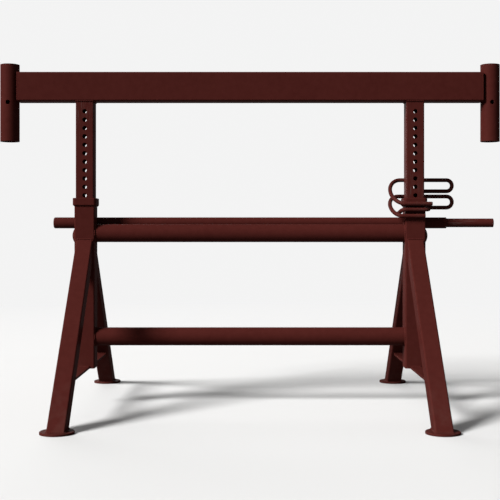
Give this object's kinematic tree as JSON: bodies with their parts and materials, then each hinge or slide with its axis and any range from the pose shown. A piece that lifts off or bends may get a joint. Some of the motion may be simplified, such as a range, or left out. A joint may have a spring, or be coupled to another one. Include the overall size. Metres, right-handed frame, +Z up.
{
  "type": "adjustable steel trestle",
  "caption": "Painted steel trestle with a box beam on telescoping posts, splayed legs with round feet, locking pins, guard-post sockets and a sliding side rod.",
  "frame": {"origin": "on the floor, under the middle of the beam", "axes": "+X along the beam to the right, +Y from front to back, +Z up"},
  "size_m": [1.497, 0.992, 1.017],
  "materials": {
    "frame_paint": "satin dark red-brown paint",
    "head_paint": "satin dark red-brown paint",
    "rod_paint": "satin dark red-brown paint",
    "pin_paint": "satin dark red-brown paint"
  },
  "bodies": {
    "base": {"sleeve_left": "frame_paint", "sleeve_collar_left": "frame_paint", "stop_rivet_left": "frame_paint", "rail_saddle_left": "frame_paint", "leg_front_left": "frame_paint", "foot_plate_front_left": "frame_paint", "tie_plate_front_left": "frame_paint", "leg_rear_left": "frame_paint", "foot_plate_rear_left": "frame_paint", "tie_plate_rear_left": "frame_paint", "sleeve_right": "frame_paint", "sleeve_collar_right": "frame_paint", "stop_rivet_right": "frame_paint", "rail_saddle_right": "frame_paint", "leg_front_right": "frame_paint", "foot_plate_front_right": "frame_paint", "tie_plate_front_right": "frame_paint", "leg_rear_right": "frame_paint", "foot_plate_rear_right": "frame_paint", "tie_plate_rear_right": "frame_paint", "upper_cross_tube": "frame_paint", "lower_cross_tube": "frame_paint", "rail_tube": "frame_paint", "rail_end_cap": "frame_paint", "pin_guide": "frame_paint"},
    "head": {"top_beam": "head_paint", "beam_end_plate_left": "head_paint", "beam_end_plate_right": "head_paint", "guard_socket_left": "head_paint", "guard_socket_right": "head_paint", "inner_post_left": "head_paint", "inner_post_right": "head_paint"},
    "slide_rod": {"extension_rod": "rod_paint", "extension_rod_plug": "rod_paint"},
    "pin_upper": {"lock_pin_handle_upper": "pin_paint", "lock_pin_shank_upper": "pin_paint"},
    "pin_lower": {"lock_pin_handle_lower": "pin_paint", "lock_pin_shank_lower": "pin_paint"}
  },
  "joints": [
    {"name": "head_height", "type": "slide", "parent": "base", "child": "head", "axis": [0, 0, 1], "range_m": [-0.2, 0.1]},
    {"name": "upper_pin_push", "type": "slide", "parent": "base", "child": "pin_upper", "axis": [0, -1, 0], "range_m": [0, 0.022]},
    {"name": "lower_pin_push", "type": "slide", "parent": "base", "child": "pin_lower", "axis": [0, -1, 0], "range_m": [0, 0.022]},
    {"name": "rod_slide", "type": "slide", "parent": "base", "child": "slide_rod", "axis": [1, 0, 0], "range_m": [-0.14, 0.3]}
  ]
}
